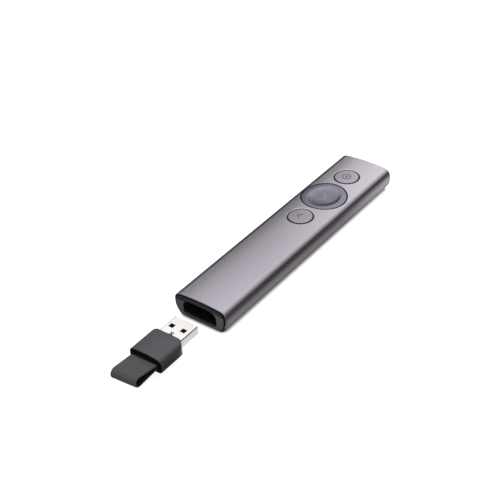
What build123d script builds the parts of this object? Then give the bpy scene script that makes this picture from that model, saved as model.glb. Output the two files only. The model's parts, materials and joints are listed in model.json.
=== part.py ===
from build123d import *
import os

# Wireless presentation clicker with a receiver that stows in its end.
# Millimetres.  +Y runs from the receiver's mouth to the tail, +Z is up, and the origin lies
# under the middle of the tube, on the flat that it rests on.

os.makedirs("parts", exist_ok=True)

# --- tube -------------------------------------------------------------------------------------
shell_length = 129.5
shell_width = 28.1
shell_height = 12.1
wall = 1.0
crown_drop = 0.9            # fall of the crowned top from its middle to the line of the flanks
flank_lean = 0.3            # how far the flanks lean in above their widest point
widest_height = 6.4         # height of the widest point of the flanks
base_inset = 3.45           # how far the flanks tuck in below
shoulder_radius = 3.8
base_radius = 2.0
rim_chamfer = 0.2

# --- buttons ----------------------------------------------------------------------------------
next_from_tail = 36.65      # middle button's centre to the tail end of the tube
button_pitch = 19.45
small_hole_radius = 6.15
big_hole_radius = 11.05
small_hole_bevel = 0.4      # width of the bevel round the small holes
big_hole_bevel = 0.15
bevel_depth = 0.16
button_gap = 0.38           # round the cap, in its hole
button_sink = 0.05          # cap's crown below the tube's crown
button_depth = 2.85         # crown of the cap down to its flat underside
button_edge = 0.1
flange_reach = 0.6          # how far the flange runs under the tube's wall
flange_gap = 0.08
dish_radius = 8.0
dish_depth = 0.95
button_travel = 0.3

# --- end caps ---------------------------------------------------------------------------------
cap_stand = 0.9             # how far the caps stand out of the tube
cap_gap = 0.12
cap_skirt = 4.0             # how far the caps reach into the tube
cap_edge = 0.35
tail_plate = 1.2            # thickness of the tail cap inside the tube's end
skirt_wall = 1.1
mouth_plate = 1.2           # thickness of the mouth cap round its opening
mouth_edge = 0.2
sleeve_gap = 0.1            # mouth cap's skirt round the bay's sleeve

# --- receiver bay -----------------------------------------------------------------------------
bay_width = 17.8
bay_headroom = 1.3          # roof of the bay to the underside of the tube's crown
bay_roof_drop = 0.7         # the bay's roof is crowned like the tube
bay_roof_radius = 3.0
bay_floor_radius = 2.7
bay_wall = 0.6
bay_end_wall = 0.8
bay_tube_gap = 0.1          # under the bay's sleeve
bay_end_gap = 0.5           # stowed plug's tip to the end of the bay

# --- receiver ---------------------------------------------------------------------------------
receiver_gap = 8.3          # mouth to the tip of the plug, pulled out as it rests
receiver_slip = 0.35        # all round the receiver in its bay
plug_width = 12.0
plug_height = 4.5
plug_length = 11.0
plug_wall = 0.3
plug_corner = 0.6
plug_seat = 4.0             # how far the plug runs into the case
window_width = 2.4          # square latch windows in the plug
window_length = 2.2
window_spacing = 6.2
window_from_tip = 5.5
key_width = 1.9             # T-shaped seam lock at the root of the plug
key_bar = 0.45
key_stem = 0.6
key_length = 1.3
tongue_height = 1.85
tongue_setback = 0.4        # tip of the plug's shell to the tongue
contact_width = 1.0
contact_length = 7.5
contact_height = 0.15
contact_spacing = 2.25
contact_count = 4
case_length = 14.8
case_wall = 0.7
case_nose = 3.6             # rounding of the case's front corners, seen from above
case_brow = 0.6             # rounding of its upper front edge, seen from the side
case_chin = 5.0             # rounding of its lower front edge
case_front_wall = 4.0       # solid nose round the root of the plug
case_lip = 0.2
anchor_sink = 2.2           # rim of the case to the strap's anchor
anchor_length = 2.4
glue_gap = 0.05
receiver_board_width = 12.4
receiver_board_height = 0.8
receiver_chip_size = 4.0
receiver_chip_height = 0.9
strap_width = 13.6
strap_reach = 13.8          # rim of the case to the end of the loop
strap_thickness = 1.2
strap_nose_radius = 2.55
strap_rim_gap = 0.3         # rim of the case to where the loop's full thickness starts
strap_root_height = 1.0     # both layers pressed thin, where they run into the anchor
strap_slot_gap = 0.1
strap_root_gap = 0.12       # radius of the loop's gap where its two layers meet

# --- chassis, board and battery ---------------------------------------------------------------
tray_slide = 0.15           # round the chassis, in the tube
tray_wall = 0.8
boss_radius = 1.5
boss_inset = 2.2            # edge of the board to the middle of the bosses
first_screw = 9.0           # board's bay end to the first screw
last_screw = 6.0            # second screw to the board's tail end
screw_radius = 0.5
screw_gap = 0.05
screw_length = 3.2
screw_head_radius = 1.05
screw_head_height = 0.45
rib_width = 0.8
rib_height = 2.6
board_height = 0.8
board_inset = 0.35          # edge of the board inside the chassis's widest point
board_end_gap = 0.25
board_corner = 1.0
switch_height = 1.12        # board to the top of the plunger
switch_size = 4.6
switch_base = 0.72
plunger_radius = 1.1
plunger_gap = 0.1
plunger_floor = 0.12        # left under the plunger when it is pressed home
usb_c_width = 8.94
usb_c_height = 3.26
usb_c_length = 7.35
usb_c_wall = 0.25
usb_c_gap = 0.12
usb_c_tongue_width = 6.7
usb_c_tongue_height = 0.7
usb_c_tongue_setback = 0.7
usb_c_back = 2.2            # solid moulding behind the tongue
battery_width = 16.0
battery_length = 40.0
battery_corner = 1.2
battery_gap = 0.3
battery_from_socket = 2.6
pad_height = 0.3
pad_margin = 1.5
tab_width = 2.0             # nickel tabs from the cell up to the board
tab_thickness = 0.15
tab_spacing = 5.0
tab_reach = 2.2
tab_bend = 0.1
controller_size = 7.0
controller_height = 0.9
shield_size = 12.0
shield_height = 1.7
shield_wall = 0.2
charger_size = 4.0
charger_height = 0.8
sensor_size = 3.0
sensor_height = 0.9
chip_gap = 1.0              # between the shield and the chips beside it
aerial_width = 5.0
aerial_length = 1.8
aerial_height = 0.7
aerial_from_end = 1.2

# --- vibration motor --------------------------------------------------------------------------
boot_wall = 0.35
boot_headroom = 0.15
boot_length = 7.0
motor_length = 8.0
motor_from_battery = 5.0
shaft_radius = 0.35
shaft_gap = 0.05
shaft_length = 4.4
shaft_seat = 3.0
weight_margin = 0.3         # motor's radius less the weight's
weight_length = 3.2
weight_gap = 0.5            # motor to the weight

# --- worked out -------------------------------------------------------------------------------
half_length = shell_length / 2
mouth_y = -half_length - cap_stand
next_y = half_length - next_from_tail
buttons = {                 # each hole's centre, radius and bevel
    "back": (next_y - button_pitch, small_hole_radius, small_hole_bevel),
    "next": (next_y, big_hole_radius, big_hole_bevel),
    "pointer": (next_y + button_pitch, small_hole_radius, small_hole_bevel),
}
button_underside = shell_height - button_sink - button_depth

plug_tip_y = mouth_y - receiver_gap
case_front_y = plug_tip_y - plug_length
case_back_y = case_front_y - case_length
strap_end_y = case_back_y - strap_reach
receiver_travel = mouth_y - case_back_y

bay_floor = wall + bay_tube_gap + bay_wall
bay_height = shell_height - wall - bay_headroom - bay_floor
bay_axis = bay_floor + bay_height / 2
bay_end_y = plug_tip_y + receiver_travel + bay_end_gap
bay_back_y = bay_end_y + bay_end_wall
sleeve_start_y = mouth_y + mouth_plate
skirt_y = -half_length + cap_skirt

board_top = button_underside - switch_height
board_bottom = board_top - board_height
board_width = shell_width - 2 * (wall + tray_slide + board_inset)
tray_floor = wall + tray_slide + tray_wall
tray_end_y = half_length - cap_skirt
board_start_y = bay_back_y + board_end_gap
board_end_y = tray_end_y - board_end_gap
board_length = board_end_y - board_start_y
usb_c_axis = board_bottom - usb_c_height / 2
socket_end_y = bay_end_y + usb_c_length
battery_start_y = socket_end_y + battery_from_socket
battery_end_y = battery_start_y + battery_length
battery_middle_y = (battery_start_y + battery_end_y) / 2
battery_height = board_bottom - tray_floor - pad_height - battery_gap
motor_y = battery_end_y + motor_from_battery
motor_radius = (board_bottom - tray_floor - boot_headroom) / 2 - boot_wall
motor_axis = tray_floor + boot_wall + motor_radius
weight_radius = motor_radius - weight_margin
screw_x = board_width / 2 - boss_inset
screw_places = [(screw_x, board_start_y + first_screw), (-screw_x, board_end_y - last_screw)]

# --- outlines that several pieces share, drawn across the tube --------------------------------
with BuildSketch() as tube_outline:
    half_width = shell_width / 2
    with BuildLine():
        flank_top = (half_width - flank_lean, shell_height - crown_drop)
        ThreePointArc((-flank_top[0], flank_top[1]), (0, shell_height), flank_top)
        for side in (-1, 1):
            widest = (side * half_width, widest_height)
            TangentArc(widest, (side * flank_top[0], flank_top[1]), tangent=(0, 1))
            TangentArc(widest, (side * (half_width - base_inset), 0), tangent=(0, -1))
        Line((base_inset - half_width, 0), (half_width - base_inset, 0))
    make_face()
    fillet(tube_outline.vertices().group_by(Axis.Y)[-1], shoulder_radius)
    fillet(tube_outline.vertices().group_by(Axis.Y)[0], base_radius)

with BuildSketch() as bay_outline:
    with BuildLine():
        roof_edge = bay_floor + bay_height - bay_roof_drop
        roof = ThreePointArc(
            (-bay_width / 2, roof_edge), (0, bay_floor + bay_height), (bay_width / 2, roof_edge)
        )
        Polyline(roof @ 1, (bay_width / 2, bay_floor), (-bay_width / 2, bay_floor), roof @ 0)
    make_face()
    fillet(bay_outline.vertices().group_by(Axis.Y)[-1], bay_roof_radius)
    fillet(bay_outline.vertices().group_by(Axis.Y)[0], bay_floor_radius)


def across(y):
    """A plane across the tube at y, facing the mouth: what is extruded from it runs to -Y."""
    return Plane.XZ.offset(-y)


def section(outline, inset=0.0, mode=Mode.ADD):
    """Put a shared outline, drawn in by inset, into the sketch at hand."""
    drawn = offset(outline.sketch, amount=-inset, mode=Mode.PRIVATE) if inset else outline.sketch
    add(drawn, mode=mode)


def rounded_bar(width, height, corner, y, z, length, mode=Mode.ADD):
    """Extrude a rounded rectangle centred on (0, z) from y towards the mouth."""
    with BuildSketch(across(y)) as profile:
        with Locations((0, z)):
            RectangleRounded(width, height, corner)
    extrude(profile.sketch, amount=length, mode=mode)


# --- tube and caps ----------------------------------------------------------------------------
with BuildPart() as body_shell:
    with BuildSketch(across(half_length)):
        section(tube_outline)
        section(tube_outline, wall, Mode.SUBTRACT)
    extrude(amount=shell_length)
    rims = body_shell.faces().filter_by(Axis.Y)
    chamfer([edge for rim in rims for edge in rim.outer_wire().edges()], rim_chamfer)
    with BuildSketch(Plane.XY.offset(shell_height)):
        for button_y, hole_radius, _ in buttons.values():
            with Locations((0, button_y)):
                Circle(hole_radius)
    extrude(amount=-shell_height / 2, mode=Mode.SUBTRACT)
    for button_y, hole_radius, bevel_width in buttons.values():
        bores = [
            face
            for face in body_shell.faces().filter_by(GeomType.CYLINDER)
            if abs(face.radius - hole_radius) < bevel_width
            and abs(face.center().Y - button_y) < hole_radius
        ]
        for bore in bores:
            rim = bore.edges().filter_by(GeomType.LINE, reverse=True).sort_by(Axis.Z)[-1]
            chamfer(rim, bevel_depth, bevel_width, reference=bore)
body_shell.part.label = "body_shell"
export_step(body_shell.part, "parts/body_shell.step")

with BuildPart() as bay_end_cap:
    with BuildSketch(across(skirt_y)):
        section(tube_outline, wall + cap_gap)
    extrude(amount=cap_skirt + cap_stand)
    chamfer(bay_end_cap.faces().sort_by(Axis.Y)[0].edges(), cap_edge)
    with BuildSketch(across(skirt_y)):
        section(tube_outline, wall + cap_gap + skirt_wall)
        section(bay_outline, -(bay_wall + sleeve_gap))
    extrude(amount=skirt_y - sleeve_start_y, mode=Mode.SUBTRACT)
    with BuildSketch(across(sleeve_start_y)):
        section(bay_outline)
    extrude(amount=mouth_plate, mode=Mode.SUBTRACT)
    chamfer(bay_end_cap.faces().sort_by(Axis.Y)[0].inner_wires()[0].edges(), mouth_edge)
bay_end_cap.part.label = "bay_end_cap"
export_step(bay_end_cap.part, "parts/bay_end_cap.step")

with BuildPart() as tail_end_cap:
    with BuildSketch(across(half_length + cap_stand)):
        section(tube_outline, wall + cap_gap)
    extrude(amount=cap_stand + cap_skirt)
    chamfer(tail_end_cap.faces().sort_by(Axis.Y)[-1].edges(), cap_edge)
    with BuildSketch(across(half_length - tail_plate)):
        section(tube_outline, wall + cap_gap + skirt_wall)
    extrude(amount=cap_skirt, mode=Mode.SUBTRACT)
tail_end_cap.part.label = "tail_end_cap"
export_step(tail_end_cap.part, "parts/tail_end_cap.step")

# --- buttons ----------------------------------------------------------------------------------


def trim_above(y, inset):
    """Cut away what stands above the tube's outline drawn in by inset."""
    with BuildSketch(across(y + shell_width / 2)) as above:
        with Locations((0, shell_height)):
            Rectangle(shell_width, shell_height)
        section(tube_outline, inset, Mode.SUBTRACT)
    extrude(above.sketch, amount=shell_width, mode=Mode.SUBTRACT)


def make_button(y, hole_radius, dished):
    """A crowned cap with a flange that the tube's wall holds down."""
    cap_radius = hole_radius - button_gap
    flange_radius = hole_radius + flange_reach
    with BuildPart() as button:
        with BuildSketch(Plane.XY.offset(button_underside)):
            with Locations((0, y)):
                Circle(flange_radius)
        extrude(amount=shell_height - button_underside)
        trim_above(y, wall + flange_gap)
        with BuildSketch(Plane.XY.offset(button_underside)):
            with Locations((0, y)):
                Circle(cap_radius)
        extrude(amount=shell_height - button_underside)
        trim_above(y, button_sink)
        crown_face = button.faces().sort_by(Axis.Z)[-1]
        chamfer(crown_face.edges(), button_edge)
        if dished:
            sphere_radius = (dish_radius**2 + dish_depth**2) / (2 * dish_depth)
            with Locations((0, y, shell_height - button_sink - dish_depth + sphere_radius)):
                Sphere(sphere_radius, rotation=(90, 0, 0), mode=Mode.SUBTRACT)
    return button


for name, (button_y, hole_radius, _) in buttons.items():
    cap = make_button(button_y, hole_radius, hole_radius == big_hole_radius)
    cap.part.label = f"{name}_button"
    export_step(cap.part, f"parts/{name}_button.step")

    with BuildPart() as switch:
        with Locations((0, button_y, board_top + switch_base / 2)):
            Box(switch_size, switch_size, switch_base)
        with BuildSketch(Plane.XY.offset(board_top + plunger_floor)):
            with Locations((0, button_y)):
                Circle(plunger_radius + plunger_gap)
        extrude(amount=switch_base, mode=Mode.SUBTRACT)
    switch.part.label = f"{name}_switch"
    export_step(switch.part, f"parts/{name}_switch.step")

    with BuildPart() as plunger:
        with BuildSketch(Plane.XY.offset(board_top + plunger_floor + button_travel)):
            with Locations((0, button_y)):
                Circle(plunger_radius)
        extrude(amount=switch_height - plunger_floor - button_travel)
    plunger.part.label = f"{name}_plunger"
    export_step(plunger.part, f"parts/{name}_plunger.step")

# --- receiver bay and charging socket ---------------------------------------------------------
with BuildPart() as receiver_bay:
    with BuildSketch(across(bay_back_y)):
        section(bay_outline, -bay_wall)
    extrude(amount=bay_back_y - sleeve_start_y)
    with BuildSketch(across(bay_end_y)):
        section(bay_outline)
    extrude(amount=bay_end_y - sleeve_start_y, mode=Mode.SUBTRACT)
    rounded_bar(
        usb_c_width + 2 * usb_c_gap, usb_c_height + 2 * usb_c_gap, usb_c_height / 2,
        bay_back_y, usb_c_axis, bay_end_wall, Mode.SUBTRACT,
    )
receiver_bay.part.label = "receiver_bay"
export_step(receiver_bay.part, "parts/receiver_bay.step")

with BuildPart() as usb_c_shell:
    rounded_bar(
        usb_c_width, usb_c_height, usb_c_height / 2 - usb_c_gap, socket_end_y, usb_c_axis, usb_c_length
    )
    rounded_bar(
        usb_c_width - 2 * usb_c_wall, usb_c_height - 2 * usb_c_wall, usb_c_height / 2 - 2 * usb_c_wall,
        socket_end_y, usb_c_axis, usb_c_length, Mode.SUBTRACT,
    )
usb_c_shell.part.label = "usb_c_shell"
export_step(usb_c_shell.part, "parts/usb_c_shell.step")

with BuildPart() as usb_c_tongue:
    rounded_bar(
        usb_c_width - 2 * usb_c_wall, usb_c_height - 2 * usb_c_wall, usb_c_height / 2 - 2 * usb_c_wall,
        socket_end_y, usb_c_axis, usb_c_back,
    )
    blade_length = usb_c_length - usb_c_back - usb_c_tongue_setback
    with Locations((0, socket_end_y - usb_c_back - blade_length / 2, usb_c_axis)):
        Box(usb_c_tongue_width, blade_length, usb_c_tongue_height)
usb_c_tongue.part.label = "usb_c_tongue"
export_step(usb_c_tongue.part, "parts/usb_c_tongue.step")

# --- chassis and board ------------------------------------------------------------------------
with BuildPart() as chassis:
    tray_length = tray_end_y - bay_back_y
    with BuildSketch(across(tray_end_y)):
        section(tube_outline, wall + tray_slide)
        section(tube_outline, wall + tray_slide + tray_wall, Mode.SUBTRACT)
    extrude(amount=tray_length)
    with BuildSketch(Plane.XY.offset(tray_floor)):
        with Locations(*screw_places):
            Circle(boss_radius)
    extrude(amount=board_bottom - tray_floor)
    with BuildSketch(Plane.XY.offset(tray_floor)):
        with Locations((0, battery_middle_y)):
            with GridLocations(1, battery_length + 2 * battery_gap + rib_width, 1, 2):
                Rectangle(shell_width - 2 * base_inset, rib_width)
    extrude(amount=rib_height)
    with BuildSketch(across(tray_end_y)):
        section(tube_outline, wall + tray_slide)
        with Locations((0, board_bottom)):
            Rectangle(shell_width, shell_height, align=(Align.CENTER, Align.MIN), mode=Mode.SUBTRACT)
    extrude(amount=tray_length, mode=Mode.INTERSECT)
    with BuildSketch(Plane.XY.offset(board_bottom)):
        with Locations(*screw_places):
            Circle(screw_radius + screw_gap)
    extrude(amount=-screw_length, mode=Mode.SUBTRACT)
chassis.part.label = "chassis"
export_step(chassis.part, "parts/chassis.step")

with BuildPart() as main_board:
    with BuildSketch(Plane.XY.offset(board_bottom)):
        with Locations((0, (board_start_y + board_end_y) / 2)):
            RectangleRounded(board_width, board_length, board_corner)
        with Locations(*screw_places):
            Circle(screw_radius + screw_gap, mode=Mode.SUBTRACT)
    extrude(amount=board_height)
main_board.part.label = "main_board"
export_step(main_board.part, "parts/main_board.step")

with BuildPart() as board_screws:
    with BuildSketch(Plane.XY.offset(board_top)):
        with Locations(*screw_places):
            Circle(screw_head_radius)
    extrude(amount=screw_head_height)
    with BuildSketch(Plane.XY.offset(board_top)):
        with Locations(*screw_places):
            Circle(screw_radius)
    extrude(amount=-(screw_length - screw_head_height))
board_screws.part.label = "board_screws"
export_step(board_screws.part, "parts/board_screws.step")

# --- what the board carries -------------------------------------------------------------------


def chip(width, length, height, x, y):
    """A flat component on top of the board, centred on (x, y)."""
    with Locations((x, y, board_top + height / 2)):
        Box(width, length, height)


shield_y = (socket_end_y + buttons["back"][0] - small_hole_radius - flange_reach) / 2
shield_side = shield_size / 2 + chip_gap
with BuildPart() as controller_chip:
    chip(controller_size, controller_size, controller_height, 0, shield_y)
controller_chip.part.label = "controller_chip"
export_step(controller_chip.part, "parts/controller_chip.step")

with BuildPart() as radio_shield:
    chip(shield_size, shield_size, shield_height, 0, shield_y)
    with Locations((0, shield_y, board_top + (shield_height - shield_wall) / 2)):
        shield_inside = shield_size - 2 * shield_wall
        Box(shield_inside, shield_inside, shield_height - shield_wall, mode=Mode.SUBTRACT)
radio_shield.part.label = "radio_shield"
export_step(radio_shield.part, "parts/radio_shield.step")

with BuildPart() as charger_chip:
    chip(charger_size, charger_size, charger_height, shield_side + charger_size / 2, shield_y)
charger_chip.part.label = "charger_chip"
export_step(charger_chip.part, "parts/charger_chip.step")

with BuildPart() as motion_sensor:
    chip(sensor_size, sensor_size, sensor_height, -shield_side - sensor_size / 2, shield_y)
motion_sensor.part.label = "motion_sensor"
export_step(motion_sensor.part, "parts/motion_sensor.step")

with BuildPart() as chip_antenna:
    chip(aerial_width, aerial_length, aerial_height, 0, board_end_y - aerial_from_end - aerial_length / 2)
chip_antenna.part.label = "chip_antenna"
export_step(chip_antenna.part, "parts/chip_antenna.step")

# --- battery ----------------------------------------------------------------------------------
with BuildPart() as battery_pad:
    with Locations((0, battery_middle_y, tray_floor + pad_height / 2)):
        Box(battery_width - 2 * pad_margin, battery_length - 2 * pad_margin, pad_height)
battery_pad.part.label = "battery_pad"
export_step(battery_pad.part, "parts/battery_pad.step")

with BuildPart() as battery:
    rounded_bar(
        battery_width, battery_height, battery_corner,
        battery_end_y, tray_floor + pad_height + battery_height / 2, battery_length,
    )
battery.part.label = "battery"
export_step(battery.part, "parts/battery.step")

with BuildPart() as battery_tabs:
    tab_z = (tray_floor + rib_height + board_bottom) / 2
    for tab_x in (-tab_spacing / 2, tab_spacing / 2):
        with BuildSketch(Plane.YZ.offset(tab_x - tab_width / 2)) as tab_profile:
            with Locations((battery_end_y, tab_z)):
                Rectangle(tab_reach, tab_thickness, align=(Align.MIN, Align.MIN))
            with Locations((battery_end_y + tab_reach, tab_z)):
                Rectangle(tab_thickness, board_bottom - tab_z, align=(Align.MAX, Align.MIN))
            fillet(tab_profile.vertices().group_by(Axis.Y)[0].sort_by(Axis.X)[-1], tab_bend)
        extrude(amount=tab_width)
battery_tabs.part.label = "battery_tabs"
export_step(battery_tabs.part, "parts/battery_tabs.step")

# --- vibration motor --------------------------------------------------------------------------
with BuildPart() as motor_boot:
    boot_size = 2 * (motor_radius + boot_wall)
    with Locations((0, motor_y + boot_length / 2, motor_axis)):
        Box(boot_size, boot_length, boot_size)
    with BuildSketch(across(motor_y + boot_length)):
        with Locations((0, motor_axis)):
            Circle(motor_radius)
    extrude(amount=boot_length, mode=Mode.SUBTRACT)
motor_boot.part.label = "motor_boot"
export_step(motor_boot.part, "parts/motor_boot.step")

with BuildPart() as vibration_motor:
    with BuildSketch(across(motor_y + motor_length)):
        with Locations((0, motor_axis)):
            Circle(motor_radius - glue_gap)
    extrude(amount=motor_length)
    with BuildSketch(across(motor_y + motor_length)):
        with Locations((0, motor_axis)):
            Circle(shaft_radius + shaft_gap)
    extrude(amount=shaft_seat + shaft_gap, mode=Mode.SUBTRACT)
vibration_motor.part.label = "vibration_motor"
export_step(vibration_motor.part, "parts/vibration_motor.step")

with BuildPart() as motor_shaft:
    with BuildSketch(across(motor_y + motor_length + shaft_length)):
        with Locations((0, motor_axis)):
            Circle(shaft_radius)
    extrude(amount=shaft_length + shaft_seat)
motor_shaft.part.label = "motor_shaft"
export_step(motor_shaft.part, "parts/motor_shaft.step")

with BuildPart() as eccentric_weight:
    weight_y = motor_y + motor_length + weight_gap
    with BuildSketch(across(weight_y + weight_length)):
        with Locations((0, motor_axis)):
            Circle(weight_radius)
            Circle(shaft_radius, mode=Mode.SUBTRACT)
        with Locations((0, motor_axis + 2 * shaft_radius)):
            Rectangle(
                2 * weight_radius, weight_radius, align=(Align.CENTER, Align.MIN), mode=Mode.SUBTRACT
            )
    extrude(amount=weight_length)
eccentric_weight.part.label = "eccentric_weight"
export_step(eccentric_weight.part, "parts/eccentric_weight.step")

# --- receiver ---------------------------------------------------------------------------------
plug_bottom = bay_axis - plug_height / 2
plug_back_y = case_front_y - plug_seat
tongue_top = plug_bottom + plug_wall + tongue_height

with BuildPart() as plug_shell:
    rounded_bar(plug_width, plug_height, plug_corner, plug_tip_y, bay_axis, plug_tip_y - plug_back_y)
    rounded_bar(
        plug_width - 2 * plug_wall, plug_height - 2 * plug_wall, plug_corner - plug_wall,
        plug_tip_y, bay_axis, plug_tip_y - plug_back_y, Mode.SUBTRACT,
    )
    with BuildSketch(Plane.XY.offset(bay_axis)):
        with Locations((0, plug_tip_y - window_from_tip)):
            with GridLocations(window_spacing, 1, 2, 1):
                Rectangle(window_width, window_length)
    extrude(amount=plug_height, both=True, mode=Mode.SUBTRACT)
    with BuildSketch(Plane.XY.offset(bay_axis)):
        with Locations((0, case_front_y + key_length)):
            Rectangle(key_width, key_bar, align=(Align.CENTER, Align.MAX))
        with Locations((0, case_front_y)):
            Rectangle(key_stem, key_length, align=(Align.CENTER, Align.MIN))
    extrude(amount=plug_height, mode=Mode.SUBTRACT)
plug_shell.part.label = "plug_shell"
export_step(plug_shell.part, "parts/plug_shell.step")

with BuildPart() as plug_tongue:
    tongue_length = plug_tip_y - tongue_setback - plug_back_y
    with Locations((0, plug_tip_y - tongue_setback - tongue_length / 2, tongue_top - tongue_height / 2)):
        Box(plug_width - 2 * plug_wall - 2 * glue_gap, tongue_length, tongue_height)
    chamfer(plug_tongue.edges().filter_by(Axis.Y), plug_corner - plug_wall)
plug_tongue.part.label = "plug_tongue"
export_step(plug_tongue.part, "parts/plug_tongue.step")

with BuildPart() as plug_contacts:
    contact_y = plug_tip_y - tongue_setback - contact_width - contact_length / 2
    with Locations((0, contact_y, tongue_top + contact_height / 2)):
        with GridLocations(contact_spacing, 1, contact_count, 1):
            Box(contact_width, contact_length, contact_height)
plug_contacts.part.label = "plug_contacts"
export_step(plug_contacts.part, "parts/plug_contacts.step")

case_width = bay_width - 2 * receiver_slip
case_bottom = bay_floor + receiver_slip
case_height = bay_height - 2 * receiver_slip
with BuildPart() as receiver_case:
    with BuildSketch(across(case_front_y)):
        section(bay_outline, receiver_slip)
    extrude(amount=case_length)
    with BuildSketch() as case_plan:
        with Locations((0, case_front_y)):
            Rectangle(case_width, case_length, align=(Align.CENTER, Align.MAX))
        fillet(case_plan.vertices().group_by(Axis.Y)[-1], case_nose)
    extrude(amount=shell_height, mode=Mode.INTERSECT)
    with BuildSketch(Plane.YZ.offset(-case_width / 2)) as case_side:
        with Locations((case_front_y, case_bottom)):
            Rectangle(case_length, case_height, align=(Align.MAX, Align.MIN))
        fillet(case_side.vertices().group_by(Axis.X)[-1].sort_by(Axis.Y)[-1], case_brow)
        fillet(case_side.vertices().group_by(Axis.Y)[0].sort_by(Axis.X)[-1], case_chin)
    extrude(amount=case_width, mode=Mode.INTERSECT)
    with BuildSketch(across(case_front_y - case_front_wall)):
        section(bay_outline, receiver_slip + case_wall)
    extrude(amount=case_length, mode=Mode.SUBTRACT)
    chamfer(receiver_case.faces().sort_by(Axis.Y)[0].outer_wire().edges(), case_lip)
    with Locations((0, case_front_y - case_front_wall / 2, bay_axis)):
        Box(plug_width + 2 * glue_gap, case_front_wall, plug_height + 2 * glue_gap, mode=Mode.SUBTRACT)
receiver_case.part.label = "receiver_case"
export_step(receiver_case.part, "parts/receiver_case.step")

anchor_back_y = case_back_y + anchor_sink
anchor_front_y = anchor_back_y + anchor_length
with BuildPart() as strap_anchor:
    with BuildSketch(across(anchor_front_y)):
        section(bay_outline, receiver_slip + case_wall + glue_gap)
    extrude(amount=anchor_length)
    with Locations((0, anchor_back_y, bay_axis)):
        Box(
            strap_width + 2 * strap_slot_gap, 2 * (anchor_length - plug_wall),
            strap_root_height + 2 * strap_slot_gap, mode=Mode.SUBTRACT,
        )
strap_anchor.part.label = "strap_anchor"
export_step(strap_anchor.part, "parts/strap_anchor.step")

with BuildPart() as receiver_board:
    receiver_board_y = anchor_front_y + glue_gap
    receiver_board_length = plug_back_y - receiver_board_y
    with Locations((0, plug_back_y - receiver_board_length / 2, tongue_top - receiver_board_height / 2)):
        Box(receiver_board_width, receiver_board_length, receiver_board_height)
receiver_board.part.label = "receiver_board"
export_step(receiver_board.part, "parts/receiver_board.step")

with BuildPart() as receiver_chip:
    with Locations((0, plug_back_y - receiver_board_length / 2, tongue_top + receiver_chip_height / 2)):
        Box(receiver_chip_size, receiver_chip_size, receiver_chip_height)
receiver_chip.part.label = "receiver_chip"
export_step(receiver_chip.part, "parts/receiver_chip.step")

with BuildPart() as pull_strap:
    nose_y = strap_end_y + strap_nose_radius
    fold_y = case_back_y - strap_rim_gap
    root_length = anchor_front_y - plug_wall - strap_slot_gap - fold_y
    with BuildSketch(Plane.YZ.offset(-strap_width / 2)):
        with Locations((nose_y, bay_axis)):
            Circle(strap_nose_radius)
        with Locations((fold_y, bay_axis)):
            Rectangle(glue_gap, 2 * strap_thickness, align=(Align.MAX, Align.CENTER))
        make_hull()
        with Locations((fold_y, bay_axis)):
            Rectangle(root_length, strap_root_height, align=(Align.MIN, Align.CENTER))
    extrude(amount=strap_width)
    with BuildSketch(Plane.YZ.offset(-strap_width / 2)):
        with Locations((nose_y, bay_axis)):
            Circle(strap_nose_radius - strap_thickness)
        with Locations((fold_y - strap_thickness, bay_axis)):
            Circle(strap_root_gap)
        make_hull()
    extrude(amount=strap_width, mode=Mode.SUBTRACT)
pull_strap.part.label = "pull_strap"
export_step(pull_strap.part, "parts/pull_strap.step")
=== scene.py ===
import json
import math

import bmesh
import bpy
import numpy as np
from mathutils import Matrix, Vector


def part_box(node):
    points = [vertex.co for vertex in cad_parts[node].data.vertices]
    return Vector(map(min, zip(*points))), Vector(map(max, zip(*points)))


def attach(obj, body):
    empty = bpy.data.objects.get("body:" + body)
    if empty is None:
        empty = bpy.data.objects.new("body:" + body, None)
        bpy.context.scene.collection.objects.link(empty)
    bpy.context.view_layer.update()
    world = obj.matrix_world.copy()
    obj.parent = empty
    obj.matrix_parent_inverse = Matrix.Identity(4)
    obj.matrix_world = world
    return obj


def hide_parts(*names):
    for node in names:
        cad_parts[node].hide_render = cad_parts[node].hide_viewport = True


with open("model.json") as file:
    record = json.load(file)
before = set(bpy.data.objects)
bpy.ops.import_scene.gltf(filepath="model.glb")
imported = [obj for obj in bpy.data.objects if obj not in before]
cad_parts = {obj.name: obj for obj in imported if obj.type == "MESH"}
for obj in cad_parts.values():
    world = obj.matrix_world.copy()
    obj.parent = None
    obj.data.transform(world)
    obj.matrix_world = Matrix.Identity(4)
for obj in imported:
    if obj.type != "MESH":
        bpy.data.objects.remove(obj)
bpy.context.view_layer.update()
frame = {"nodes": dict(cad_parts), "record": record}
nodes = frame["nodes"]
mm = 0.001      # in metres
print("stage 1: frame loaded,", len(nodes), "nodes")


def linearColour(hexText):
    # sRGB hex to the linear colour that shader sockets take
    channels = np.array([int(hexText[i:i + 2], 16) for i in (1, 3, 5)]) / 255
    linear = np.where(channels <= 0.04045, channels / 12.92, ((channels + 0.055) / 1.055) ** 2.4)
    return (*linear.tolist(), 1.0)


def addNode(tree, kind, inputs=None, **settings):
    # one node with its settings; an input is a value, a hex colour, or the node or socket that feeds it.  A
    # colour mix has its factor at input 0 and its two colours at 6 and 7
    node = tree.nodes.new("ShaderNode" + kind)
    for key, value in settings.items():
        setattr(node, key, value)
    for key, value in (inputs or {}).items():
        if isinstance(value, bpy.types.Node):
            value = next(socket for socket in value.outputs if socket.enabled)
        if isinstance(value, bpy.types.NodeSocket):
            tree.links.new(value, node.inputs[key])
        else:
            node.inputs[key].default_value = linearColour(value) if isinstance(value, str) else value
    return node


def newMaterial(name):
    material = bpy.data.materials.new(name)
    material.use_nodes = True
    material.node_tree.nodes.clear()
    return material, material.node_tree


def ownPlace(tree):
    # a point's x, y and z on its piece
    place = addNode(tree, "TexCoord")
    return addNode(tree, "SeparateXYZ", {"Vector": place.outputs["Object"]}).outputs


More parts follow.
